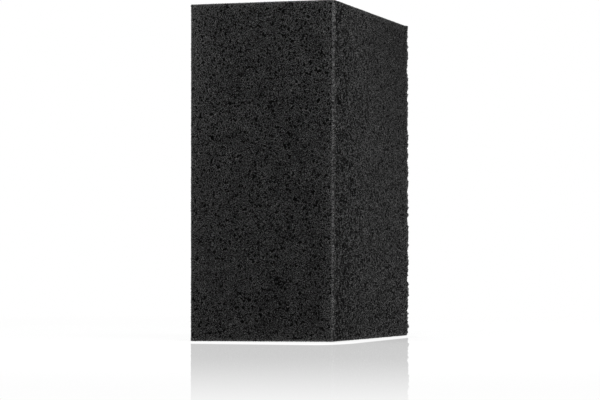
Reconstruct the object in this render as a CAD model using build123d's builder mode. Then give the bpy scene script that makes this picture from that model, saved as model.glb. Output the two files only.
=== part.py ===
"""Sanding sponge: one block of open-cell foam with abrasive grit bonded to it.

The block stands on one of its ends. X runs through its thickness, from one broad face to the other,
Y across a broad face and Z along its length. The origin is the middle of the end it stands on.

Four of its faces are cut through the foam: the long sides, which face front (-Y) and rear (+Y), and
the two ends. The largest of the cells that the cuts laid open show there as six-sided pits. The
front and end arrises are worn to a small round. The rear arrises are left as the cut tore them, with
one cell after another broken out of the edge.
"""

import os

from build123d import *

# Driving dimensions, in millimetres
LENGTH = 100.0  # Z, from end to end
WIDTH = 75.0  # Y, across a broad face
THICKNESS = 45.0  # X, between the broad faces
FRONT_ROUND = 0.7  # radius of the two long front arrises
END_ROUND = 0.5  # radius of the arrises round both ends

# A foam cell: a six-sided hollow, bevelled all round between its walls and its floor
CELL_SIDES = 6
CELL_DEPTH = 0.85  # depth, as a share of the cell's radius
CELL_BEVEL = 0.4  # height and breadth of the bevel, as a share of the cell's radius

# Open cells: those that a cut face passes through, in three sizes
OPEN_RADII = (0.45, 0.55, 0.7)
OPEN_RISE = 0.1  # height of a cell's mouth above the cut face
OPEN_TILT = 24.0  # degrees between the most tilted cells, to one side and the other
OPEN_SPACING = 8.5  # one cell to each square of this side
OPEN_MARGIN = 1.8  # bare strip between the cells' centres and the arrises

# Torn cells: larger cells broken out of the rear arrises, in three sizes
TORN_RADII = (1.6, 1.1, 2.0)
TORN_BITES = (0.5, 0.35, 0.7)  # how far each size reaches into the arris
TORN_LEAN = 0.4  # step towards the rear for each step outwards, for the cells of the side arrises
TORN_PITCH = 3.2  # mean distance from one to the next
TORN_WANDER = 0.7  # how far one strays from its even place along the arris

# Ratios whose multiples spread evenly and never repeat, over a line and over a rectangle
GOLDEN_RATIO = (5**0.5 - 1) / 2
PLASTIC_RATIO = 0.7548776662


def scatter(index, ratio):
    """A place from -0.5 to 0.5 for this index, spread evenly and without repeating."""
    return (index + 1) * ratio % 1.0 - 0.5


def foam_cell(radius):
    """One cell of the foam, its mouth centred on the origin and its floor below."""
    with BuildPart() as cell:
        with BuildSketch(Plane.XY):
            RegularPolygon(radius, CELL_SIDES)
        extrude(amount=-radius * CELL_DEPTH)
        chamfer(cell.faces().sort_by(Axis.Z)[0].edges(), radius * CELL_BEVEL)
    return cell.part


def open_cells(cut_face, across, along):
    """Open cells for a cut face, across by along in size and centred on its plane."""
    cells = [foam_cell(radius) for radius in OPEN_RADII]
    room = (across - 2 * OPEN_MARGIN, along - 2 * OPEN_MARGIN)
    return [
        cells[i % len(cells)].moved(
            cut_face.location
            * Location((room[0] * scatter(i, PLASTIC_RATIO), room[1] * scatter(i, PLASTIC_RATIO**2), 0))
            * Location((0, 0, OPEN_RISE), (OPEN_TILT * scatter(i, PLASTIC_RATIO), 0, 360 * scatter(i, GOLDEN_RATIO)))
        )
        for i in range(round(room[0] * room[1] / OPEN_SPACING**2))
    ]


def torn_cells(arris, span):
    """Cells to break out of an arris that runs along a plane's X for a span, with the plane facing outwards."""
    cells = [foam_cell(radius) for radius in TORN_RADII]
    rises = [radius * CELL_DEPTH - bite for radius, bite in zip(TORN_RADII, TORN_BITES)]
    count = round(span / TORN_PITCH)
    return [
        cells[i % len(cells)].moved(
            arris.location
            * Location((span * (i + 0.5) / count + 2 * TORN_WANDER * scatter(i, GOLDEN_RATIO), 0, 0))
            * Location((0, 0, rises[i % len(cells)]), (0, 0, 360 * scatter(i, PLASTIC_RATIO)))
        )
        for i in range(count)
    ]


half_width = WIDTH / 2
half_thickness = THICKNESS / 2
front = Plane((0, -half_width, LENGTH / 2), x_dir=(1, 0, 0), z_dir=(0, -1, 0))
rear = Plane((0, half_width, LENGTH / 2), x_dir=(-1, 0, 0), z_dir=(0, 1, 0))
top_end = Plane((0, 0, LENGTH), x_dir=(1, 0, 0), z_dir=(0, 0, 1))
bottom_end = Plane((0, 0, 0), x_dir=(1, 0, 0), z_dir=(0, 0, -1))

# Cells that the cuts laid open
missing_cells = [
    *open_cells(front, THICKNESS, LENGTH),
    *open_cells(rear, THICKNESS, LENGTH),
    *open_cells(top_end, THICKNESS, WIDTH),
    *open_cells(bottom_end, THICKNESS, WIDTH),
]

# Cells torn out of the rear arrises: up both sides, then along both ends
for side in (-1, 1):
    rear_side = Plane((side * half_thickness, half_width, 0), x_dir=(0, 0, 1), z_dir=(side, TORN_LEAN, 0))
    missing_cells += torn_cells(rear_side, LENGTH)
for level, away in ((0, -1), (LENGTH, 1)):
    rear_end = Plane((-half_thickness, half_width, level), x_dir=(1, 0, 0), z_dir=(0, 1, away))
    missing_cells += torn_cells(rear_end, THICKNESS)

with BuildPart() as foam_block:
    # The block, cut square from a slab
    with BuildSketch(Plane.XY):
        Rectangle(THICKNESS, WIDTH)
    extrude(amount=LENGTH)

    # Worn arrises: the long ones in front, then those round both ends, apart from the rear ones
    fillet(foam_block.edges().filter_by(Axis.Z).group_by(Axis.Y)[0], FRONT_ROUND)
    ends = foam_block.faces().filter_by(Axis.Z)
    fillet([edge for end in ends for edge in end.edges().sort_by(Axis.Y)[:-1]], END_ROUND)

    add(missing_cells, clean=False, mode=Mode.SUBTRACT)

foam_block.part.label = "foam_block"

os.makedirs("parts", exist_ok=True)
export_step(foam_block.part, "parts/foam_block.step")
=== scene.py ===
import logging
import math
from dataclasses import dataclass, field
from enum import Enum
from typing import Any

import bpy
import numpy as np
from mathutils import Matrix, Vector


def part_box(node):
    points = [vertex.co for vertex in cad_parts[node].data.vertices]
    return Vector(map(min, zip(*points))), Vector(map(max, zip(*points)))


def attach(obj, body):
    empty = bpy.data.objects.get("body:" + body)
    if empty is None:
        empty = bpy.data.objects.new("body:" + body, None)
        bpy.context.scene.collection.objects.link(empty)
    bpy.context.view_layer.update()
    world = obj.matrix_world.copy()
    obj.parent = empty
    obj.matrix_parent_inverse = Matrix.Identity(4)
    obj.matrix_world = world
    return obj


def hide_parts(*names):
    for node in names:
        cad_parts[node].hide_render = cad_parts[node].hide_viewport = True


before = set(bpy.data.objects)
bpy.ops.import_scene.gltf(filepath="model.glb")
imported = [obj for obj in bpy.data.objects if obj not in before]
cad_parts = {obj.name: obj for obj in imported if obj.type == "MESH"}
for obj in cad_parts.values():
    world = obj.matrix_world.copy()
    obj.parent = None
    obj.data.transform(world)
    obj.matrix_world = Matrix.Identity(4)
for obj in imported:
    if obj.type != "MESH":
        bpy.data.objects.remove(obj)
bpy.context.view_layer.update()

LOG = logging.getLogger("sanding_sponge")
MM = 0.001
NODE = "foam_block"
BODY = "root"
BAKE_MAP = "OFBake"
Array = np.ndarray
Colour = tuple[float, float, float]
Place = tuple[float, float, float]
Range = tuple[float, float]
WHITE = (1.0, 1.0, 1.0, 1.0)

# Ratios whose multiples spread evenly and never repeat, over a line and over a rectangle
GOLDEN_RATIO = (math.sqrt(5.0) - 1.0) / 2.0
PLASTIC_RATIO = 0.7548776662

# What mixes the numbers of a cell, a lane and a seed into one, then folds its high bits back in
CELL_FACTORS = (73856093, 19349663, 83492791)
LANE_FACTOR = 1013904223
SEED_FACTOR = 69069
FOLDS = ((15, 2246822519), (13, 3266489917))
LAST_FOLD = 16
ALL_BITS = 0xFFFFFFFF
LOW_BITS = 0xFFFFFF


# ---------------------------------------------------------------- fields over the foam


def smooth(t: Array) -> Array:
    """Eases 0..1 in and out: t squared times (3 - 2t), with t held between 0 and 1."""
    t = np.clip(t, 0.0, 1.0)
    return t * t * (3.0 - 2.0 * t)


def scatter(index: Array, ratio: float) -> Array:
    """Spreads indices evenly from -0.5 to 0.5, as the remainders of their multiples."""
    return (index + 1) * ratio % 1.0 - 0.5


def scrambled(cells: Array, seed: int, lanes: int) -> Array:
    """Gives fixed pseudo-random numbers for whole-number cells.

    Formula: each lane mixes the three cell numbers and the seed with large odd factors, folds the
    high bits back in three times, and keeps the low 24 bits.

    Args:
        cells: whole numbers, shape (..., 3).
        seed: which family of numbers to give.
        lanes: how many numbers each cell gets.

    Returns:
        Numbers from 0 to 1, shape (..., lanes).
    """
    base = np.bitwise_xor.reduce(cells.astype(np.int64) * np.array(CELL_FACTORS), axis=-1)
    lane = np.arange(1, lanes + 1, dtype=np.int64) * LANE_FACTOR
    mixed = base[..., None] + lane + seed * SEED_FACTOR
    for shift, factor in FOLDS:
        mixed = ((mixed ^ (mixed >> shift)) * factor) & ALL_BITS
    mixed ^= mixed >> LAST_FOLD
    return (mixed & LOW_BITS) / float(LOW_BITS)


@dataclass(frozen=True)
class Noise:
    """Smooth noise: random values at the corners of a cube lattice, eased from one to the next."""

    wavelength: float
    seed: int

    def at(self, points: Array) -> Array:
        """Gives the noise at points.

        Formula: with f the place within a lattice cube, eased, the value is the eight corners'
        values weighted by f or 1 - f along each axis.

        Args:
            points: places in metres, shape (n, 3).

        Returns:
            Values from -1 to 1, shape (n,).
        """
        scaled = points / self.wavelength
        corner = np.floor(scaled)
        ease = smooth(scaled - corner)
        total = np.zeros(len(points))
        for step in np.ndindex(2, 2, 2):
            weight = np.prod(np.where(np.array(step, bool), ease, 1.0 - ease), axis=1)
            total += weight * scrambled(corner + step, self.seed, 1)[:, 0]
        return 2.0 * total - 1.0


def far_wall(away: Array, normals: Array, radius: Array | float) -> Array:
    """Gives how far below points of a cut the far wall of a ball-shaped cell lies.

    Formula: for a ball of radius r about c, with a = normal . (point - c), the wall is at a depth
    of a + the root of (a squared + r squared - |point - c| squared), where the point is inside
    the ball.

    Args:
        away: vectors from the ball's centre to the points, shape (n, 3).
        normals: outward unit normals at the points, shape (n, 3).
        radius: the ball's radius, one for all the points or one for each.

    Returns:
        Depths in metres, 0 outside the ball, shape (n,).
    """
    inside = radius**2 - np.sum(away**2, axis=1)
    along = np.sum(away * normals, axis=1)
    depth = along + np.sqrt(np.maximum(along**2 + inside, 0.0))
    return np.where(inside > 0.0, depth, 0.0)


@dataclass(frozen=True)
class CellLattice:
    """Fine round cells of the foam, one in each cube of a lattice, some of them missing."""

    spacing: float
    smallest: float
    largest: float
    share: float  # of the cubes that have a cell
    seed: int

    def depth(self, points: Array, normals: Array) -> Array:
        """Gives how far below each point of a cut the deepest of the 27 nearest cells reaches.

        Args:
            points: points of the cut, shape (n, 3).
            normals: outward unit normals there, shape (n, 3).

        Returns:
            Depths in metres, 0 outside every cell, shape (n,).
        """
        home = np.floor(points / self.spacing)
        deepest = np.zeros(len(points))
        for step in np.ndindex(3, 3, 3):
            cell = home + np.array(step) - 1
            draw = scrambled(cell, self.seed, 5)
            away = points - (cell + draw[:, :3]) * self.spacing
            radius = self.smallest + (self.largest - self.smallest) * draw[:, 3] ** 2
            radius = np.where(draw[:, 4] < self.share, radius, 0.0)
            deepest = np.maximum(deepest, far_wall(away, normals, radius))
        return deepest


@dataclass(frozen=True)
class LargeCells:
    """Larger cells at places of their own, each a ball."""

    centres: Array
    radii: Array

    def depth(self, points: Array, normals: Array) -> Array:
        """Gives how far below each point of a cut the deepest of these cells reaches.

        Args:
            points: points of the cut, shape (n, 3).
            normals: outward unit normals there, shape (n, 3).

        Returns:
            Depths in metres, 0 outside every cell, shape (n,).
        """
        deepest = np.zeros(len(points))
        for centre, radius in zip(self.centres, self.radii):
            near = np.flatnonzero(np.all(np.abs(points - centre) < radius, axis=1))
            depth = far_wall(points[near] - centre, normals[near], radius)
            deepest[near] = np.maximum(deepest[near], depth)
        return deepest


@dataclass(frozen=True)
class OpenCells:
    """The largest cells that a cut face lays open, placed as the part's own source places them."""

    sizes: tuple[float, ...] = (0.45 * MM, 0.55 * MM, 0.7 * MM)
    spacing: float = 8.5 * MM  # one cell to each square of this side
    margin: float = 1.8 * MM  # bare strip between the cells' centres and the arrises
    rise: float = 0.1 * MM  # height of a cell's mouth above the cut
    centre: float = 0.11  # height of the ball's centre above the mouth, in cell sizes
    ball: float = 0.96  # radius of the ball, in cell sizes

    def on(self, middle: Array, across: Array, along: Array) -> LargeCells:
        """Places the cells of one face.

        Args:
            middle: middle of the face.
            across: vector from one side of the face to the other.
            along: vector from its bottom to its top; across times along points outwards.

        Returns:
            The cells.
        """
        extent = np.array([np.linalg.norm(across), np.linalg.norm(along)])
        first, second = across / extent[0], along / extent[1]
        room = extent - 2 * self.margin
        index = np.arange(round(room[0] * room[1] / self.spacing**2))
        sizes = np.array(self.sizes)[index % len(self.sizes)]
        centres = (
            middle
            + (room[0] * scatter(index, PLASTIC_RATIO))[:, None] * first
            + (room[1] * scatter(index, PLASTIC_RATIO**2))[:, None] * second
            + (self.rise + self.centre * sizes)[:, None] * np.cross(first, second)
        )
        return LargeCells(centres, self.ball * sizes)


@dataclass(frozen=True)
class TornCells:
    """The cells torn out of a rear arris, placed as the part's own source places them."""

    sizes: tuple[float, ...] = (1.6 * MM, 1.1 * MM, 2.0 * MM)
    bites: tuple[float, ...] = (0.5 * MM, 0.35 * MM, 0.7 * MM)  # how far each reaches in
    pitch: float = 3.2 * MM  # mean distance from one to the next
    wander: float = 1.4 * MM  # range over which one strays from its even place

    def along(self, start: Array, end: Array, outwards: Array) -> LargeCells:
        """Places the cells of one arris.

        Args:
            start: one end of the arris.
            end: its other end.
            outwards: unit vector away from the block, square to the arris.

        Returns:
            The cells.
        """
        span = float(np.linalg.norm(end - start))
        count = round(span / self.pitch)
        index = np.arange(count)
        sizes = np.array(self.sizes)[index % len(self.sizes)]
        bites = np.array(self.bites)[index % len(self.bites)]
        place = (index + 0.5) / count + self.wander * scatter(index, GOLDEN_RATIO) / span
        centres = start + place[:, None] * (end - start) + (sizes - bites)[:, None] * outwards
        return LargeCells(centres, sizes)


@dataclass(frozen=True)
class Scallops:
    """Small bites strung along a torn rear arris, with ridges left standing between them."""

    along: int  # axis that the arris runs along
    axis: int  # axis that the bites reach along
    side: int  # which end of that axis
    seed: int
    pitch: float = 1.5 * MM
    wander: float = 0.8  # range over which a bite strays from its even place, in pitches
    mouth: Range = (0.3, 0.55)  # half-width of a bite, in pitches
    reach: Range = (0.15 * MM, 0.6 * MM)
    ease: float = 0.6  # share of their depth that the bites have lost at the far end
    blunt: float = 0.08 * MM  # what the ridges have lost
    flare: float = 0.26 * MM  # how far they would stand proud without that
    foot: float = 0.0  # radius that the foot's corner is rounded off to
    breadth: float = 2.5 * MM  # of the rear face that gives way
    length: float = 2.6 * MM  # of the other face that gives way

    def bite(self, place: Array) -> Array:
        """Gives how deep the bites are along the arris.

        Formula: a bite of half-width h and reach r is an arc of radius R = (h squared + r squared)
        / 2r, so at a distance t from its middle it is r - R + the root of (R squared - t squared)
        deep. The deepest of the three nearest counts.

        Args:
            place: places along the arris in metres, shape (n,).

        Returns:
            Depths in metres, at least what the ridges have lost, shape (n,).
        """
        home = np.floor(place / self.pitch)
        deepest = np.full(len(place), self.blunt)
        for step in (-1, 0, 1):
            index = home + step
            draw = scrambled(np.stack([index] * 3, axis=1), self.seed, 3)
            middle = (index + 0.5 + self.wander * (draw[:, 0] - 0.5)) * self.pitch
            half = self.pitch * (self.mouth[0] + (self.mouth[1] - self.mouth[0]) * draw[:, 1])
            reach = self.reach[0] + (self.reach[1] - self.reach[0]) * draw[:, 2]
            radius = (half**2 + reach**2) / (2 * reach)
            arc = np.sqrt(np.maximum(radius**2 - (place - middle) ** 2, 0.0)) - radius + reach
            deepest = np.maximum(deepest, arc)
        return deepest

    def moves(self, points: Array, low: Array, high: Array) -> Array:
        """Gives how far points of the block move: all the way by the arris, less away from it.

        Formula: a point moves in by the bite and out by the flare. The bite eases off from the
        near end of the arris to the far one, and grows near the foot by the gap between a corner
        of radius R and its rounded form, R less the root of (R squared - (R - height) squared).

        Args:
            points: points of the block, shape (n, 3).
            low: the lowest corner of the block.
            high: the highest corner of the block.

        Returns:
            Moves in metres, shape (n, 3).
        """
        up = points[:, self.along] - low[self.along]
        short = np.maximum(self.foot - up, 0.0)
        far = up / (high[self.along] - low[self.along])
        full = self.bite(points[:, self.along])
        bite = self.blunt + (full - self.blunt) * (1.0 - self.ease * far)
        bite += self.foot - np.sqrt(np.maximum(self.foot**2 - short**2, 0.0))
        edge = high[self.axis] if self.side > 0 else low[self.axis]
        from_arris = self.side * (edge - points[:, self.axis])
        from_rear = high[1] - points[:, 1]
        share = smooth(1.0 - from_arris / self.breadth) * smooth(1.0 - from_rear / self.length)
        moves = np.zeros(points.shape)
        moves[:, self.axis] = self.side * share * (self.flare - bite)
        return moves


@dataclass(frozen=True)
class WearAndPaintedLight:
    """Paler strips along the arrises, partly worn and partly painted highlight, and painted light
    on the cut faces by their left arris and at their foot.
    """

    left: float = 0.22  # strength of a strip at the left of the block
    gain: float = 0.22  # what it gains towards the right
    upright: float = 2.1  # times that, beside the upright arrises of the broad faces
    level: float = 0.6  # times that, beside their level arrises
    broad_strip: float = 2.1 * MM
    broad_power: int = 6
    cut_strip: float = 0.5 * MM
    cut_power: int = 2
    bell: float = 0.26  # strength of the broader strip on the cut faces
    bell_breadth: float = 3.0 * MM
    painted_left_light: float = 0.34  # painted light on the cut faces by their left arris
    painted_left_light_reach: float = 5 * MM
    painted_left_light_foot: float = 0.5  # times that at the foot, rising by 1 to the top
    foot: float = 0.8  # painted light on the cut faces at the foot
    foot_height: float = 1.0 * MM

    def at(self, sharp: Array, low: Array, high: Array) -> Array:
        """Gives how worn each place is and how much painted light it has, from 0 where it has
        neither to 0.9 where it has most.

        Formula: a strip along each arris, partly worn and partly painted highlight, twice as strong
        on the right of the block as on its left, which falls off with e to the minus distance to a
        power: squared on the cut faces, to the sixth on the broad ones. On the broad faces it is
        stronger beside the upright arrises than beside the level ones. The cut faces have a weak,
        broader bell curve too, likewise partly painted highlight. They get painted light towards
        the left arris by e to the minus distance, more so with height, and painted light at the
        foot by e to the minus height squared. The strongest of these counts.

        Args:
            sharp: places on the sharp-edged box, shape (n, 3).
            low: the lowest corner of the block.
            high: the highest corner of the block.

        Returns:
            How worn and how painted-lit each place is, shape (n,).
        """
        gaps = np.minimum(sharp - low, high - sharp)
        order = np.sort(gaps, axis=1)
        to_arris = order[:, 1]
        broad_face = gaps[:, 0] <= order[:, 0]
        level = gaps[:, 2] <= to_arris
        breadth = np.where(broad_face, self.broad_strip, self.cut_strip)
        power = np.where(broad_face, self.broad_power, self.cut_power)
        # the strips are partly worn places and partly a painted highlight, stronger towards the
        # right
        strength = self.left + self.gain * (sharp[:, 0] - low[0]) / (high[0] - low[0])
        strength *= np.where(broad_face, np.where(level, self.level, self.upright), 1.0)
        strip = strength * np.exp(-((to_arris / breadth) ** power))
        bell = np.where(broad_face, 0.0, self.bell)
        bell = bell * np.exp(-((to_arris / self.bell_breadth) ** 2))
        # painted light on the cut faces by their left arris, stronger with height
        painted_left_light = np.where(broad_face, 0.0, self.painted_left_light)
        painted_left_light = painted_left_light * np.exp(-(sharp[:, 0] - low[0]) / self.painted_left_light_reach)
        painted_left_light *= self.painted_left_light_foot + (sharp[:, 2] - low[2]) / (high[2] - low[2])
        # painted light on the cut faces at the foot
        foot = np.where(broad_face, 0.0, self.foot)
        foot = foot * np.exp(-(((sharp[:, 2] - low[2]) / self.foot_height) ** 2))
        return np.maximum(strip + bell, np.maximum(painted_left_light, foot))


# ---------------------------------------------------------------- the block's surface


class Face(Enum):
    """The six faces of the block, each with the axis it faces along and the side it is on."""

    FRONT = (1, -1)
    REAR = (1, 1)
    LEFT = (0, -1)
    RIGHT = (0, 1)
    BASE = (2, -1)
    TOP = (2, 1)

    @property
    def across(self) -> tuple[int, int]:
        """The two axes that span the face, in the order that makes their product point outwards."""
        axis, side = self.value
        return tuple((axis + step) % 3 for step in ((1, 2) if side > 0 else (2, 1)))


@dataclass(frozen=True)
class SurfaceSample:
    """Points of the finished surface, with what the finishes need to know of them."""

    points: Array
    normals: Array
    hollow: Array  # depth in metres of the cell laid open there
    # how worn each place is and how much painted light it has
    wear_and_painted_light: Array


@dataclass
class FoamSurface:
    """The cut and torn surface of the block, as a function of places on its sharp-edged box.

    The front, the rear and the two ends are cut through the foam. The broad faces, to the left and
    right, are those of the slab, with slightly larger cells and a coat of their own.
    """

    low: Array
    high: Array
    inset: float = 0.05 * MM  # how far the foam lies inside the box, to leave room for its grains
    front_round: float = 0.6 * MM
    end_round: float = 0.4 * MM
    rear_round: float = 0.2 * MM
    round_fade: float = 2.5 * MM  # over which one arris radius goes over into another
    wave: float = 0.02 * MM  # height of the waves
    waves: Noise = Noise(14 * MM, 21)
    lump: float = 0.02 * MM  # height of the lumps
    lumps: Noise = Noise(1.7 * MM, 22)
    lean: float = 0.5 * MM  # how far the near front arris leans inwards at the foot
    dips: tuple[float, float, float] = (0.2 * MM, 0.6 * MM, 0.4 * MM)  # top: left, near, right
    lift: float = 0.25 * MM  # how far the near corner of the foot is cut short
    cut_cells: CellLattice = CellLattice(0.95 * MM, 0.27 * MM, 0.43 * MM, 0.85, 11)
    coated_cells: CellLattice = CellLattice(1.0 * MM, 0.32 * MM, 0.5 * MM, 1.0, 13)
    coated_from: float = 0.5  # x share of a normal from which a place is on a broad face
    coated_ease: float = 0.3  # how much more it takes to be wholly so
    large_share: float = 0.5  # of a large cell's depth that counts as hollow
    filled_gain: float = 2.0  # how fast the worn places and the painted light fill the hollows
    filled_from: float = 0.2  # how late that begins on the cut faces
    filled_later: float = 0.8  # how much later on the broad ones
    wear_and_painted_light: WearAndPaintedLight = WearAndPaintedLight()
    torn_lean: float = 0.4  # step towards the rear for each outwards, beside the broad faces
    upright_seed: int = 31
    level_seed: int = 41
    foot_round: float = 1.8 * MM  # of the rear arrises, where they meet the foot
    large_cells: list[LargeCells] = field(default_factory=list)
    scallops: list[Scallops] = field(default_factory=list)

    def __post_init__(self) -> None:
        """Places the large cells of the four cut faces and of the four rear arrises."""
        middle, (thick, wide, long) = (self.low + self.high) / 2, self.high - self.low
        x, y, z = np.eye(3)
        for outwards, across, along in (
            (-y * wide, x * thick, z * long),
            (y * wide, -x * thick, z * long),
            (z * long, x * thick, y * wide),
            (-z * long, x * thick, -y * wide),
        ):
            self.large_cells.append(OpenCells().on(middle + outwards / 2, across, along))
        rear = self.high[1] * y
        for side, edge in ((-1, self.low[0]), (1, self.high[0])):
            start, end = edge * x + rear + self.low[2] * z, edge * x + rear + self.high[2] * z
            outwards = (side * x + self.torn_lean * y) / math.hypot(1.0, self.torn_lean)
            self.large_cells.append(TornCells().along(start, end, outwards))
            seed = self.upright_seed + side
            self.scallops.append(Scallops(2, 0, side, seed, foot=self.foot_round))
        for side, edge in ((-1, self.low[2]), (1, self.high[2])):
            start, end = self.low[0] * x + rear + edge * z, self.high[0] * x + rear + edge * z
            outwards = (y + side * z) * math.sqrt(0.5)
            self.large_cells.append(TornCells().along(start, end, outwards))
            self.scallops.append(Scallops(0, 2, side, self.level_seed + side))

    def arris_round(self, sharp: Array) -> Array:
        """Gives the arris radius near places: by height towards the ends, by depth to the rear.

        Args:
            sharp: places on the sharp-edged box, shape (n, 3).

        Returns:
            Radii in metres, shape (n,).
        """
        to_end = np.minimum(sharp[:, 2] - self.low[2], self.high[2] - sharp[:, 2])
        middle = smooth(to_end / self.round_fade)
        body = self.end_round + (self.front_round - self.end_round) * middle
        to_rear = smooth((self.high[1] - sharp[:, 1]) / self.round_fade)
        return self.rear_round + (body - self.rear_round) * to_rear

    def hollows(self, points: Array, normals: Array, sink: Array, wear_and_painted_light: Array) -> Array:
        """Gives how deep a cell lies open at points, less where worn places and painted light have
        filled it.

        Formula: the deepest of the fine cells and a share of the large ones, times one minus how
        worn and painted-lit they are, multiplied and shifted, eased in.

        Args:
            points: points of the surface before it sinks, shape (n, 3).
            normals: outward unit normals there, shape (n, 3).
            sink: how far the large cells reach below them, shape (n,).
            wear_and_painted_light: how worn they are and how much painted light they have, shape
                (n,).

        Returns:
            Depths in metres, shape (n,).
        """
        coated = smooth((np.abs(normals[:, 0]) - self.coated_from) / self.coated_ease)
        cut = self.cut_cells.depth(points, normals) * (1.0 - coated)
        slab = self.coated_cells.depth(points, normals) * coated
        deepest = np.maximum(np.maximum(cut, slab), self.large_share * sink)
        filled = self.filled_gain * wear_and_painted_light - self.filled_from - self.filled_later * coated
        return deepest * (1.0 - smooth(filled))

    def at(self, sharp: Array) -> SurfaceSample:
        """Carries places on the sharp box to the finished surface.

        Formula: the nearest point q of the box shrunk by the arris radius, plus that radius along
        the unit vector from q to the place, gives a box with rounded arrises. The point then sinks
        along its normal by the deepest large cell there, and rises or falls with the waves and
        lumps. The scallops and the unevenness of the cut move it last.

        Args:
            sharp: places on the sharp-edged box, shape (n, 3).

        Returns:
            The surface there.
        """
        radius = self.arris_round(sharp)[:, None]
        core = np.clip(sharp, self.low + radius, self.high - radius)
        normals = sharp - core
        normals /= np.linalg.norm(normals, axis=1, keepdims=True)
        points = core + normals * (radius - self.inset)
        sink = np.max([cells.depth(points, normals) for cells in self.large_cells], axis=0)
        wear_and_painted_light = self.wear_and_painted_light.at(sharp, self.low, self.high)
        hollow = self.hollows(points, normals, sink, wear_and_painted_light)
        relief = self.wave * self.waves.at(sharp) + self.lump * self.lumps.at(sharp)
        points = points - normals * (sink + self.wave + self.lump - relief)[:, None]
        torn = sum(row.moves(points, self.low, self.high) for row in self.scallops)
        points = points + (self.out_of_square(points) + torn)
        points[:, 2] = np.maximum(points[:, 2], self.low[2])
        return SurfaceSample(points, normals, hollow, wear_and_painted_light)

    def out_of_square(self, points: Array) -> Array:
        """Gives the small moves that make the block as uneven as a hand-cut one, all inwards.

        Formula: with u from the left to the right face, v from the rear to the front and h from the
        foot to the top, all from 0 to 1, the near front arris leans by u v (1 - h) times the lean,
        each top corner drops by h times its dip times u or 1 - u times v or 1 - v, and the near
        corner of the foot rises by u v (1 - h) times the lift.

        Args:
            points: points of the block, shape (n, 3).

        Returns:
            Moves in metres, shape (n, 3).
        """
        u, v, h = ((points - self.low) / (self.high - self.low)).T
        v = 1.0 - v
        left, near, right = self.dips
        drop = h * (left * (1.0 - u) + near * u * v + right * u * (1.0 - v))
        foot = u * v * (1.0 - h)
        return np.stack([-self.lean * foot, np.zeros(len(points)), self.lift * foot - drop], axis=1)

    def face_places(self, face: Face, spots: Array) -> Array:
        """Gives places on a face of the sharp box.

        Args:
            face: the face.
            spots: the two coordinates across it, shape (n, 2).

        Returns:
            The places, shape (n, 3).
        """
        axis, side = face.value
        places = np.empty((len(spots), 3))
        places[:, axis] = self.high[axis] if side > 0 else self.low[axis]
        places[:, list(face.across)] = spots
        return places


# ---------------------------------------------------------------- meshes


def new_piece(name: str, points: Array, faces: Array) -> bpy.types.Object:
    """Makes a mesh object at the origin.

    Args:
        name: the piece's name.
        points: its points in metres, shape (n, 3).
        faces: the numbers of each face's points, all faces with as many, shape (m, sides).

    Returns:
        The object, linked to the scene.
    """
    mesh = bpy.data.meshes.new(name)
    sides = faces.shape[1]
    mesh.vertices.add(len(points))
    mesh.vertices.foreach_set("co", points.astype(np.float32).ravel())
    mesh.loops.add(faces.size)
    mesh.loops.foreach_set("vertex_index", faces.astype(np.int32).ravel())
    mesh.polygons.add(len(faces))
    mesh.polygons.foreach_set("loop_start", np.arange(0, faces.size, sides, dtype=np.int32))
    mesh.update(calc_edges=True)
    mesh.validate()
    piece = bpy.data.objects.new(name, mesh)
    bpy.context.scene.collection.objects.link(piece)
    return piece


def add_values(piece: bpy.types.Object, name: str, values: Array) -> None:
    """Stores one number for each point of a piece, for its finish to read."""
    attribute = piece.data.attributes.new(name, "FLOAT", "POINT")
    attribute.data.foreach_set("value", values.astype(np.float32))


def add_bake_map(piece: bpy.types.Object, corners: Array) -> None:
    """Gives a piece the map that its finish is baked through, two numbers for each face corner."""
    layer = piece.data.uv_layers.new(name=BAKE_MAP)
    layer.data.foreach_set("uv", corners.astype(np.float32).ravel())


def dress(piece: bpy.types.Object, finish: bpy.types.Material, flat: bool) -> None:
    """Gives a piece its finish and shading, and ties it to the block's body.

    Args:
        piece: the piece.
        finish: its material.
        flat: whether its faces are shaded flat, as facets.
    """
    piece.data.materials.append(finish)
    piece.data.polygons.foreach_set("use_smooth", np.full(len(piece.data.polygons), not flat))
    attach(piece, BODY)


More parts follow.
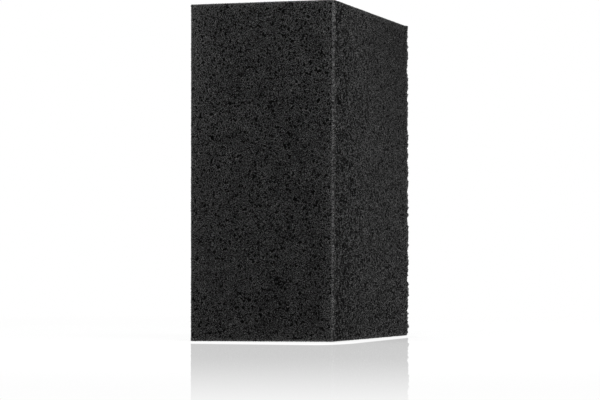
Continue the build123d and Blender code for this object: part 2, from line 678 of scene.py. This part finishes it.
@dataclass
class FoamBody:
    """The foam itself: one closed skin over the whole block."""

    surface: FoamSurface
    coarse: tuple[float, float, float] = (0.75 * MM, 0.8 * MM, 0.43 * MM)  # step along each axis
    fine: float = 0.3 * MM  # step by the arrises
    border: float = 2.4 * MM  # how far from them it is fine
    map_margin: float = 1.0 * MM

    def axis_lines(self) -> list[Array]:
        """Gives the grid lines: close together by the arrises, wider apart between.

        Returns:
            The lines' places along each axis, in metres.
        """
        lines = []
        edge = np.linspace(0.0, self.border, round(self.border / self.fine) + 1)
        for low, high, step in zip(self.surface.low, self.surface.high, self.coarse):
            count = round((high - low - 2 * self.border) / step) + 1
            inner = np.linspace(low + self.border, high - self.border, count)
            lines.append(np.concatenate([low + edge[:-1], inner, high - edge[-2::-1]]))
        return lines

    def map_corners(self, face: Face, first: Array, second: Array) -> Array:
        """Lays a face on the bake map: three long faces in a row, one lying down, then the ends.

        Args:
            face: the face to lay down.
            first: its first coordinate, from the face's own corner, in metres.
            second: its second coordinate, likewise.

        Returns:
            Map places from 0 to 1, shape (n, 2).
        """
        thick, wide, long = self.surface.high - self.surface.low
        gap = self.map_margin
        corner = {
            Face.RIGHT: (gap, gap),
            Face.LEFT: (2 * gap + wide, gap),
            Face.FRONT: (3 * gap + 2 * wide, gap),
            Face.REAR: (gap, 2 * gap + long),
            Face.TOP: (2 * gap + long, 2 * gap + long),
            Face.BASE: (gap, 3 * gap + long + thick),
        }[face]
        end = face in (Face.BASE, Face.TOP)
        upright = face.across[1] == 2
        a, b = (first, second) if upright or end else (second, first)
        if face is Face.REAR or (end and face.across[0] == 0):
            a, b = b, a
        side = 4 * gap + 2 * wide + thick
        return np.stack([corner[0] + a.ravel(), corner[1] + b.ravel()], axis=1) / side

    def face_grid(self, face: Face, lines: list[Array]) -> tuple[Array, Array, Array]:
        """Lays a grid over one face of the box.

        Args:
            face: the face.
            lines: the grid lines along each axis.

        Returns:
            For each point of the grid the numbers of its lines, shape (n, 3); the points of each
            quad, shape (m, 4); and the bake map's place of each quad's corners, shape (4 m, 2).
        """
        axis, side = face.value
        one, two = face.across
        i, j = np.meshgrid(*(np.arange(len(lines[k])) for k in (one, two)), indexing="ij")
        lattice = np.empty((i.size, 3), int)
        lattice[:, axis] = len(lines[axis]) - 1 if side > 0 else 0
        lattice[:, one], lattice[:, two] = i.ravel(), j.ravel()
        number = np.arange(i.size).reshape(i.shape)
        ring = (number[:-1, :-1], number[1:, :-1], number[1:, 1:], number[:-1, 1:])
        quads = np.stack(ring, axis=-1).reshape(-1, 4)
        first, second = lines[one][i] - lines[one][0], lines[two][j] - lines[two][0]
        return lattice, quads, self.map_corners(face, first, second)[quads.ravel()]

    def build(self) -> bpy.types.Object:
        """Makes the skin: a grid over each face of the box, joined where they meet, then formed.

        Returns:
            The dressed skin, which stands in for the block's plain solid.
        """
        lines = self.axis_lines()
        lattices, quads, corners = zip(*(self.face_grid(face, lines) for face in Face))
        starts = np.cumsum([0, *map(len, lattices)])
        quads = np.concatenate([ring + start for ring, start in zip(quads, starts)])
        lattice = np.concatenate(lattices)
        key = np.ravel_multi_index(lattice.T, [len(line) for line in lines])
        _, first, back = np.unique(key, return_index=True, return_inverse=True)
        sharp = np.stack([lines[k][lattice[first, k]] for k in range(3)], axis=1)
        sample = self.surface.at(sharp)
        piece = new_piece("foam_body", sample.points, back.reshape(-1)[quads])
        add_bake_map(piece, np.concatenate(corners))
        add_values(piece, "hollow", sample.hollow / MM)
        add_values(piece, "wear_and_painted_light", sample.wear_and_painted_light)
        dress(piece, FoamFinish().material(), flat=False)
        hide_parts(NODE)
        return piece


@dataclass
class GritCoat:
    """The abrasive grains bonded to one face: sharp four-sided splinters, bedded in the foam."""

    surface: FoamSurface
    face: Face
    pitch: float = 0.42 * MM
    jitter: float = 0.35  # how far a grain strays from its even place, in pitches
    edge: float = 0.25  # bare strip along the arrises, in pitches
    breadth: Range = (0.60, 0.82)  # from a grain's place to its feet, in pitches
    height: Range = (0.05 * MM, 0.16 * MM)
    skew: float = 0.35  # how uneven a grain's feet are
    tip: float = 0.45  # how far its tip strays, in radii
    bedding: float = 0.05 * MM
    bare_hollow: float = 0.12 * MM  # a deeper cell holds no grain
    bare_share: float = 0.24  # level below which patches and chance leave the foam bare
    patches: Noise = Noise(0.9 * MM, 61)
    patchy: float = 0.6  # share of the patches in where the foam is bare; the rest is chance
    thinned: float = 0.0  # how much more of the foam is bare by the front arrises
    thinned_reach: float = 40 * MM
    calm: float = 0.0  # how much evener the grain is by the top of the rear arrises
    calm_power: float = 1.5
    calm_hollow: float = 2.0  # how much deeper a cell holds grains there
    calm_height: float = 0.5  # share of their height that they have lost there
    calm_shade: float = 0.1  # how much darker they are there
    contrast: float = 1.0  # between the tones of the grains
    pale_and_glint_share: float = 0.05  # of the grains that are much paler: partly paler grains, partly painted glints
    pale_and_glint_lift: float = 0.25
    worn_down: float = 0.6  # share of its height that a wholly worn grain has lost
    map_margin: float = 1.0 * MM
    map_shrink: float = 0.8
    seed: int = 51
    seed_step: int = 7  # from one face to the next

    def places(self) -> tuple[Array, Array]:
        """Scatters grains: a lattice of staggered rows, each place moved a little at random.

        Returns:
            The two coordinates across the face, and seven random numbers from 0 to 1 for each.
        """
        axes = list(self.face.across)
        low, high = self.surface.low[axes], self.surface.high[axes]
        columns = np.arange(low[0], high[0], self.pitch)
        rows = np.arange(low[1], high[1], self.pitch * math.sqrt(0.75))
        first, second = np.meshgrid(columns, rows, indexing="ij")
        first = first + 0.5 * self.pitch * (np.arange(len(rows)) % 2)
        index = np.stack([*np.indices(first.shape), np.zeros(first.shape, int)], axis=-1)
        seed = self.seed + self.seed_step * list(Face).index(self.face)
        draw = scrambled(index, seed, 9).reshape(first.size, -1)
        spots = np.stack([first.ravel(), second.ravel()], axis=1)
        spots += self.jitter * self.pitch * (draw[:, :2] - 0.5) * 2
        edge = self.edge * self.pitch
        inside = np.all((spots > low + edge) & (spots < high - edge), axis=1)
        return spots[inside], draw[inside][:, 2:]

    def calmness(self, sharp: Array) -> Array:
        """Gives how even the grain is: the calm, times v from front to rear, times h to a power."""
        _, v, h = ((sharp - self.surface.low) / (self.surface.high - self.surface.low)).T
        return self.calm * v * h**self.calm_power

    def covered(self, sharp: Array, hollow: Array, calm: Array, chance: Array) -> Array:
        """Tells which places hold a grain: none in a deep cell, and fewer in the bare patches.

        Formula: a place is bare where patches and chance, added in their shares, are below the
        bare share, which grows towards the front arrises and fades with the calm.

        Args:
            sharp: places on the sharp-edged box, shape (n, 3).
            hollow: depths of the cells laid open there, shape (n,).
            calm: how even the grain is there, shape (n,).
            chance: a random number for each, shape (n,).

        Returns:
            True where there is a grain, shape (n,).
        """
        from_front = sharp[:, 1] - self.surface.low[1]
        bare = self.bare_share + self.thinned * (1.0 - smooth(from_front / self.thinned_reach))
        patches = 0.5 + 0.5 * self.patches.at(sharp)
        luck = (1.0 - self.patchy) * chance + self.patchy * patches
        shallow = hollow < self.bare_hollow * (1.0 + self.calm_hollow * calm)
        return shallow & (luck > bare * (1.0 - calm))

    def tones(self, chance: Array, calm: Array) -> Array:
        """Gives each grain its tone.

        Formula: half, plus the contrast times chance less a half, with a lift for the few pale
        grains, which are partly paler grains and partly painted glints, all of it less where the
        grain is calm.

        Args:
            chance: a random number from 0 to 1 for each grain, shape (n,).
            calm: how even the grain is there, shape (n,).

        Returns:
            Tones from 0 for the darkest to 1, shape (n,).
        """
        # a few much paler grains: partly paler grains, partly painted glints
        pale_and_glint = np.where(chance > 1.0 - self.pale_and_glint_share, self.pale_and_glint_lift, 0.0)
        tone = self.contrast * (chance - 0.5) + pale_and_glint
        return np.clip(0.5 + tone * (1.0 - calm) - self.calm_shade * calm, 0.0, 1.0)

    def splinters(self, points: Array, normals: Array, flat: Array, height: Array) -> Array:
        """Stands grains on the surface.

        Formula: a corner is its grain's place, plus its flat place across the normal, minus the
        bedding along the normal, or plus the height for the tip. None reaches below the plane that
        the block stands on.

        Args:
            points: the grains' places, shape (n, 3).
            normals: outward unit normals there, shape (n, 3).
            flat: places of their four corners across the normal, the tip last, shape (n, 4, 2).
            height: heights of their tips, shape (n,).

        Returns:
            Their corners, shape (4 n, 3).
        """
        guide = np.zeros(3)
        guide[self.face.across[0]] = 1.0
        second = np.cross(normals, guide)
        second /= np.linalg.norm(second, axis=1, keepdims=True)
        first = np.cross(second, normals)
        feet = np.full(len(points), -self.bedding)
        corners = []
        for corner, rise in enumerate((feet, feet, feet, height)):
            x, y = flat[:, corner, :1], flat[:, corner, 1:]
            corners.append(points + x * first + y * second + rise[:, None] * normals)
        vertices = np.stack(corners, axis=1).reshape(-1, 3)
        vertices[:, 2] = np.maximum(vertices[:, 2], self.surface.low[2])
        return vertices

    def build(self, finish: bpy.types.Material) -> bpy.types.Object:
        """Makes the grains of a face.

        Formula: a grain has three feet round its place, a third of a turn apart give or take a
        little, and a tip moved off centre. Worn grains are lower.

        Args:
            finish: the grains' material.

        Returns:
            The dressed grains, as one piece of closed splinters.
        """
        spots, draw = self.places()
        sharp = self.surface.face_places(self.face, spots)
        sample = self.surface.at(sharp)
        calm = self.calmness(sharp)
        kept = self.covered(sharp, sample.hollow, calm, draw[:, 5])
        size, turn, skew, lean, rise, _, tone = draw[kept].T
        spots, calm, wear_and_painted_light = spots[kept], calm[kept], sample.wear_and_painted_light[kept]
        radius = self.pitch * (self.breadth[0] + (self.breadth[1] - self.breadth[0]) * size)
        flat = []
        for foot, stray in enumerate((skew, lean, skew)):
            third = 2 * math.pi * (foot + self.skew * (stray - 0.5)) / 3
            angle = 2 * math.pi * turn + third
            flat.append(np.stack([radius * np.cos(angle), radius * np.sin(angle)], axis=1))
        flat.append(self.tip * radius[:, None] * np.stack([skew - 0.5, lean - 0.5], axis=1))
        flat = np.stack(flat, axis=1)
        height = self.height[0] + (self.height[1] - self.height[0]) * rise
        height *= (1.0 - self.worn_down * wear_and_painted_light) * (1.0 - self.calm_height * calm)
        vertices = self.splinters(sample.points[kept], sample.normals[kept], flat, height)
        shape = np.array([[0, 1, 3], [1, 2, 3], [2, 0, 3], [2, 1, 0]])
        faces = (4 * np.arange(len(spots))[:, None, None] + shape).reshape(-1, 3)
        piece = new_piece(f"grit_{self.face.name.lower()}", vertices, faces)
        add_bake_map(piece, self.map_corners(spots, flat, shape))
        add_values(piece, "tone", np.repeat(self.tones(tone, calm), 4))
        add_values(piece, "wear_and_painted_light", np.repeat(wear_and_painted_light, 4))
        dress(piece, finish, flat=True)
        return piece

    def map_corners(self, spots: Array, flat: Array, shape: Array) -> Array:
        """Lays the grains on the bake map as they lie on the face, with their bases beside them.

        Args:
            spots: the grains' places across the face, shape (n, 2).
            flat: places of their four corners from there, shape (n, 4, 2).
            shape: the corners of a grain's four faces, its base last, shape (4, 3).

        Returns:
            Map places from 0 to 1, shape (12 n, 2).
        """
        axes = list(self.face.across)
        size = (self.surface.high - self.surface.low)[axes]
        gap = self.map_margin
        places = spots[:, None, :] - self.surface.low[axes] + self.map_shrink * flat + gap
        corners = places[:, shape, :]
        stacked = size[0] <= size[1]
        away = np.array([size[0] + 2 * gap, 0.0] if stacked else [0.0, size[1] + 2 * gap])
        corners[:, 3] += away
        side = np.max(size + 2 * gap + away)
        return corners.reshape(-1, 2) / side


def grit_coats(surface: FoamSurface) -> tuple[GritCoat, ...]:
    """Gives the coats of the six faces: even on the cut ones, rough and mottled on the broad ones.

    Args:
        surface: the block's surface.

    Returns:
        The coats.
    """
    cut = {"breadth": (0.68, 0.92), "contrast": 0.45}
    broad = {"height": (0.06 * MM, 0.19 * MM), "thinned": 0.20, "contrast": 1.4, "calm": 0.9}
    return (
        GritCoat(surface, Face.FRONT, pitch=0.36 * MM, pale_and_glint_share=0.07, **cut),
        GritCoat(surface, Face.REAR, pitch=0.40 * MM, **cut),
        GritCoat(surface, Face.LEFT, **broad),
        GritCoat(surface, Face.RIGHT, **broad),
        GritCoat(surface, Face.BASE, pitch=0.55 * MM),
        GritCoat(surface, Face.TOP, contrast=0.75),
    )


# ---------------------------------------------------------------- shader maths


@dataclass(frozen=True)
class Value:
    """A number that varies over a surface: a shader socket with arithmetic."""

    tree: "ShaderTree"
    socket: bpy.types.NodeSocket

    def _math(self, operation: str, *others: "Value | float") -> "Value":
        """Adds a Math node for an operation on this value and others."""
        return self.tree.maths(operation, self, *others)

    def __add__(self, other: "Value | float") -> "Value":
        """Adds."""
        return self._math("ADD", other)

    __radd__ = __add__

    def __mul__(self, other: "Value | float") -> "Value":
        """Multiplies."""
        return self._math("MULTIPLY", other)

    __rmul__ = __mul__

    def __sub__(self, other: "Value | float") -> "Value":
        """Subtracts."""
        return self._math("SUBTRACT", other)

    def __rsub__(self, other: float) -> "Value":
        """Subtracts this value from a number."""
        return self.tree.maths("SUBTRACT", other, self)

    def __pow__(self, power: float) -> "Value":
        """Raises to a power."""
        return self._math("POWER", power)

    def step(self, low: float, high: float) -> "Value":
        """Eases from 0 to 1 between two numbers.

        Args:
            low: where it begins.
            high: where it ends.

        Returns:
            0 where this value is below low and 1 where it is above high.
        """
        inputs = {"Value": self, "From Min": low, "From Max": high}
        node = self.tree.node("ShaderNodeMapRange", {"interpolation_type": "SMOOTHSTEP"}, inputs)
        return Value(self.tree, node.outputs["Result"])


class ShaderTree:
    """The nodes of one material or of the world, made through one method."""

    def __init__(self, owner: "bpy.types.Material | bpy.types.World") -> None:
        """Empties the owner's tree.

        Args:
            owner: the material or world to give nodes.
        """
        owner.use_nodes = True
        self.owner = owner
        self.tree = owner.node_tree
        self.tree.nodes.clear()

    def node(
        self,
        kind: str,
        settings: dict[str, Any] | None = None,
        inputs: dict[Any, Any] | None = None,
    ) -> bpy.types.Node:
        """Adds a node.

        Args:
            kind: the node's type.
            settings: its properties, set first.
            inputs: a value, a Value or a socket for each input, by name or number.

        Returns:
            The node.
        """
        node = self.tree.nodes.new(kind)
        for name, setting in (settings or {}).items():
            setattr(node, name, setting)
        for key, given in (inputs or {}).items():
            source = given.socket if isinstance(given, Value) else given
            if isinstance(source, bpy.types.NodeSocket):
                self.tree.links.new(source, node.inputs[key])
            else:
                node.inputs[key].default_value = source
        return node

    def maths(self, operation: str, *terms: "Value | float") -> Value:
        """Adds a Math node on values and numbers."""
        node = self.node("ShaderNodeMath", {"operation": operation}, dict(enumerate(terms)))
        return Value(self, node.outputs[0])

    def vector(self, operation: str, *terms: Any) -> bpy.types.NodeSocket:
        """Adds a Vector Math node on sockets and vectors."""
        terms = dict(enumerate(terms))
        return self.node("ShaderNodeVectorMath", {"operation": operation}, terms).outputs[0]

    def attribute(self, name: str) -> Value:
        """Reads a number stored on the mesh."""
        node = self.node("ShaderNodeAttribute", {"attribute_name": name})
        return Value(self, node.outputs["Fac"])

    def place(self) -> bpy.types.NodeSocket:
        """Gives the place in the object's own frame."""
        return self.node("ShaderNodeTexCoord").outputs["Object"]

    def noise(self, size: float, detail: float = 2.0) -> Value:
        """Gives cloudy noise from 0 to 1 with blotches of about this size in metres."""
        inputs = {"Vector": self.place(), "Scale": 0.5 / size, "Detail": detail}
        return Value(self, self.node("ShaderNodeTexNoise", inputs=inputs).outputs["Fac"])

    def pores(self, size: float) -> Value:
        """Gives the distance to the nearest of scattered pore centres, in spacings of this size."""
        inputs = {"Vector": self.place(), "Scale": 1.0 / size}
        return Value(self, self.node("ShaderNodeTexVoronoi", inputs=inputs).outputs["Distance"])

    def seen(self) -> Value:
        """Tells the eye and mirror images from other light.

        Returns:
            1 to the eye and in a mirror image, and 0 to what lights the scene.
        """
        path = self.node("ShaderNodeLightPath").outputs
        rays = (Value(self, path[name]) for name in ("Is Camera Ray", "Is Glossy Ray"))
        return self.maths("MAXIMUM", *rays)

    def blend(self, factor: Value, first: Any, second: Any) -> bpy.types.NodeSocket:
        """Mixes two colours.

        Args:
            factor: the share of the second.
            first: three numbers or a socket.
            second: likewise.

        Returns:
            The mixed colour.
        """
        inputs = {0: factor}  # 6 and 7 are the node's two colours, and 2 is their mix
        for key, colour in ((6, first), (7, second)):
            inputs[key] = (*colour, 1.0) if isinstance(colour, tuple) else colour
        return self.node("ShaderNodeMix", {"data_type": "RGBA"}, inputs).outputs[2]

    def bump(self, height: Value, distance: float, strength: float) -> bpy.types.NodeSocket:
        """Turns a height into a normal."""
        inputs = {"Height": height, "Distance": distance, "Strength": strength}
        return self.node("ShaderNodeBump", inputs=inputs).outputs["Normal"]

    def finish(self, shader: bpy.types.NodeSocket) -> "bpy.types.Material | bpy.types.World":
        """Sends a shader to the tree's output.

        Args:
            shader: what the surface shows.

        Returns:
            The tree's owner.
        """
        kind = "World" if isinstance(self.owner, bpy.types.World) else "Material"
        self.node(f"ShaderNodeOutput{kind}", inputs={"Surface": shader})
        return self.owner


@dataclass(frozen=True)
class FoamFinish:
    """Dark resin-stiffened foam, with painted shade that makes it nearly black in its hollows and
    pores, and paler by the arrises and at the foot, partly worn and partly painted light.
    """

    resin: Colour = (0.002, 0.002, 0.002)
    # painted shade: the colour that the pores and deep cells are darkened to
    shade: Colour = (0.0004, 0.0004, 0.0004)
    # paler colour of worn places and of painted light by the arrises and at the foot
    worn_and_lit: Colour = (0.02, 0.02, 0.02)
    worn_and_lit_share: float = 0.8
    # the pores and deep cells take painted shade; random clouds vary how much
    pore_size: float = 0.42 * MM
    pore_edge: Range = (0.12, 0.5)
    pore_shade: float = 0.8
    pore_depth: float = 0.15 * MM
    pore_bump: float = 0.6
    hollow_edge: Range = (0.02, 0.3)  # depths in millimetres
    hollow_shade: float = 0.95
    cloud_size: float = 3.0 * MM
    cloud_shade: float = 0.3
    roughness: float = 0.75
    cloud_roughness: float = 0.15
    specular: float = 0.01

    def material(self) -> bpy.types.Material:
        """Builds the foam's material.

        Returns:
            The material, which reads the hollow and the worn and painted-light values stored on the
            mesh.
        """
        tree = ShaderTree(bpy.data.materials.new("foam"))
        pores = 1.0 - tree.pores(self.pore_size).step(*self.pore_edge)
        hollow = tree.attribute("hollow").step(*self.hollow_edge)
        clouds = tree.noise(self.cloud_size)
        # paler where worn, and painted light by the arrises and at the foot
        base = tree.blend(tree.attribute("wear_and_painted_light") * self.worn_and_lit_share, self.resin, self.worn_and_lit)
        # painted shade in the pores and deep cells
        painted_shade_share = tree.maths("MAXIMUM", pores * self.pore_shade, hollow * self.hollow_shade)
        painted_shade_share = painted_shade_share + self.cloud_shade * (clouds - 0.5)
        shader = tree.node(
            "ShaderNodeBsdfPrincipled",
            inputs={
                "Base Color": tree.blend(painted_shade_share.step(0.0, 1.0), base, self.shade),
                "Roughness": self.roughness + self.cloud_roughness * clouds,
                "Specular IOR Level": self.specular,
                "Normal": tree.bump(1.0 - pores, self.pore_depth, self.pore_bump),
            },
        )
        return tree.finish(shader.outputs["BSDF"])


@dataclass(frozen=True)
class GritFinish:
    """Charcoal mineral grains: each of its own tone, paler by the arrises and at the foot, partly
    worn and partly painted light.
    """

    darkest: Colour = (0.001, 0.001, 0.001)
    palest: Colour = (0.15, 0.15, 0.15)
    # paler colour of worn places and of painted light by the arrises and at the foot
    worn_and_lit: Colour = (0.2, 0.2, 0.2)
    plain: float = 0.17  # how far a grain of tone 0 is from the darkest to the palest
    tone_gain: float = 0.52
    tone_power: float = 2.0
    cloud_size: float = 2.2 * MM
    cloud_gain: float = 0.35
    speckle_size: float = 0.16 * MM
    speckle_gain: float = 0.1
    speckle_depth: float = 0.05 * MM
    speckle_bump: float = 0.4
    roughness: float = 0.5
    dark_roughness: float = 0.3
    specular: float = 0.03

    def material(self) -> bpy.types.Material:
        """Builds the grains' material.

        Returns:
            The material, which reads the tone and the worn and painted-light values stored on the
            mesh.
        """
        tree = ShaderTree(bpy.data.materials.new("grit"))
        tone = tree.attribute("tone")
        clouds = tree.noise(self.cloud_size, 3.0)
        speckle = tree.noise(self.speckle_size, 1.0)
        mixed = self.plain + (tone**self.tone_power) * self.tone_gain
        mixed = mixed + self.cloud_gain * (clouds - 0.5) + self.speckle_gain * (speckle - 0.5)
        shade = tree.blend(mixed, self.darkest, self.palest)
        # the base colour goes paler with the worn places and the painted light, more so for paler
        # grains
        shader = tree.node(
            "ShaderNodeBsdfPrincipled",
            inputs={
                "Base Color": tree.blend(tree.attribute("wear_and_painted_light") * tone, shade, self.worn_and_lit),
                "Roughness": self.roughness + self.dark_roughness * (1.0 - tone),
                "Specular IOR Level": self.specular,
                "Normal": tree.bump(speckle, self.speckle_depth, self.speckle_bump),
            },
        )
        return tree.finish(shader.outputs["BSDF"])


@dataclass(frozen=True)
class FloorFinish:
    """White polished floor: a faint mirror image, weaker from above and with the distance."""

    footprint: tuple[float, float]  # half the block's size along x and y
    white: Colour = (0.86, 0.86, 0.86)
    gloss: float = 0.57
    gloss_power: float = 8.0  # how fast it weakens from above
    clear: Range = (15.0 * MM, 22.5 * MM)  # where the mirror image begins
    clear_stretch: float = 2.8
    fade: Range = (85.0 * MM, 370.0 * MM)  # where it ends
    plain_near: float = 0.85  # share of plain white by the block; beyond the fade it is all
    blur: float = 0.02

    def beyond(self, tree: ShaderTree, stretch: float) -> Value:
        """Gives how far each place lies beyond the footprint.

        Args:
            tree: the floor's nodes.
            stretch: what the share along x is multiplied by.

        Returns:
            The distance in metres.
        """
        size = tree.vector("ABSOLUTE", tree.place())
        past = tree.vector("SUBTRACT", size, (*self.footprint, 0.0))
        kept = tree.vector("MAXIMUM", past, (0.0, 0.0, 0.0))
        stretched = tree.vector("MULTIPLY", kept, (stretch, 1.0, 1.0))
        length = tree.node("ShaderNodeVectorMath", {"operation": "LENGTH"}, {0: stretched})
        return Value(tree, length.outputs["Value"])

    def material(self) -> bpy.types.Material:
        """Builds the floor's material.

        Returns:
            The material.
        """
        tree = ShaderTree(bpy.data.materials.new("floor"))
        fade = self.beyond(tree, 1.0).step(*self.fade)
        clear = self.beyond(tree, self.clear_stretch).step(*self.clear)
        weight = tree.node("ShaderNodeLayerWeight", inputs={"Blend": 0.5})
        facing = Value(tree, weight.outputs["Facing"])
        gloss = self.gloss * (facing**self.gloss_power) * clear * (1.0 - fade)
        evenness = tree.seen() * (self.plain_near + (1.0 - self.plain_near) * fade)
        lit = tree.node("ShaderNodeBsdfDiffuse", inputs={"Color": (*self.white, 1.0)})
        plain = tree.node("ShaderNodeEmission", inputs={"Color": WHITE, "Strength": 1.0})
        mirror = tree.node("ShaderNodeBsdfGlossy", inputs={"Color": WHITE, "Roughness": self.blur})
        body = {0: evenness, 1: lit.outputs[0], 2: plain.outputs[0]}
        body = tree.node("ShaderNodeMixShader", inputs=body)
        both = {0: gloss, 1: body.outputs[0], 2: mirror.outputs[0]}
        both = tree.node("ShaderNodeMixShader", inputs=both)
        return tree.finish(both.outputs[0])


# ---------------------------------------------------------------- studio


@dataclass(frozen=True)
class Lamp:
    """A square soft lamp aimed at a point."""

    name: str
    place: Place
    aim: Place
    size: float
    watts: float

    def build(self) -> None:
        """Makes the lamp."""
        light = bpy.data.lights.new(self.name, "AREA")
        light.energy = self.watts
        light.size = self.size
        lamp = bpy.data.objects.new(self.name, light)
        lamp.location = self.place
        line = Vector(self.aim) - Vector(self.place)
        lamp.rotation_euler = line.to_track_quat("-Z", "Y").to_euler()
        bpy.context.scene.collection.objects.link(lamp)


@dataclass(frozen=True)
class Studio:
    """A white floor, a white surround, soft lamps and the camera."""

    footprint: tuple[float, float]
    floor_reach: float = 6.0
    surround: float = 0.20  # strength of the light that the surround sheds
    lamps: tuple[Lamp, ...] = (
        Lamp("key", (0.36, 0.12, 0.30), (0.0, 0.0, 0.06), 0.3, 1.58),
        Lamp("fill", (-0.085, -0.13, 0.235), (0.0, -0.03, 0.08), 0.15, 0.43),
        Lamp("corner", (0.10, -0.14, 0.22), (0.02, -0.03, 0.09), 0.10, 0.31),
        Lamp("rim", (-0.3, 0.6, 0.5), (0.0, 0.0, 0.05), 0.5, 3.2),
    )
    camera_place: Place = (0.21756, -0.62036, 0.02073)
    camera_turn: float = 19.43  # degrees from looking along Y
    camera_rise: float = 1.907  # degrees above level
    camera_roll: float = -0.06
    lens: float = 127.86  # in millimetres, like the sensor
    sensor: float = 36.0
    clip_start: float = 0.01

    def build_floor(self) -> None:
        """Lays the floor in the plane that the block stands on."""
        ring = np.array([[-1.0, -1.0, 0.0], [1.0, -1.0, 0.0], [1.0, 1.0, 0.0], [-1.0, 1.0, 0.0]])
        floor = new_piece("floor", self.floor_reach * ring, np.array([[0, 1, 2, 3]]))
        floor.data.materials.append(FloorFinish(self.footprint).material())

    def build_world(self) -> None:
        """Surrounds the scene with white for the eye and a plain soft light for the block."""
        world = bpy.data.worlds.new("surround")
        bpy.context.scene.world = world
        tree = ShaderTree(world)
        strength = self.surround + (1.0 - self.surround) * tree.seen()
        plain = tree.node("ShaderNodeBackground", inputs={"Color": WHITE, "Strength": strength})
        tree.finish(plain.outputs[0])

    def build_camera(self) -> None:
        """Sets up the camera."""
        data = bpy.data.cameras.new("camera")
        data.lens = self.lens
        data.sensor_width = self.sensor
        data.clip_start = self.clip_start
        camera = bpy.data.objects.new("camera", data)
        turn = Matrix.Rotation(math.radians(self.camera_turn), 4, "Z")
        rise = Matrix.Rotation(math.radians(90.0 + self.camera_rise), 4, "X")
        roll = Matrix.Rotation(math.radians(self.camera_roll), 4, "Z")
        camera.matrix_world = Matrix.Translation(self.camera_place) @ turn @ rise @ roll
        bpy.context.scene.collection.objects.link(camera)
        bpy.context.scene.camera = camera

    def build(self) -> None:
        """Builds the whole studio."""
        self.build_floor()
        self.build_world()
        for lamp in self.lamps:
            lamp.build()
        self.build_camera()
        bpy.context.scene.view_settings.view_transform = "Standard"


def main() -> None:
    """Builds the block's skin and grit, then the studio round them."""
    logging.basicConfig(level=logging.INFO, format="%(name)s: %(message)s")
    low, high = (np.array(corner, float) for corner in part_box(NODE))
    surface = FoamSurface(low, high)
    pieces = [FoamBody(surface).build()]
    grit = GritFinish().material()
    pieces += [coat.build(grit) for coat in grit_coats(surface)]
    for piece in pieces:
        LOG.info("%s: %d faces", piece.name, len(piece.data.polygons))
    Studio((high[0], high[1])).build()
    bpy.context.view_layer.update()


if __name__ == "__main__":
    main()
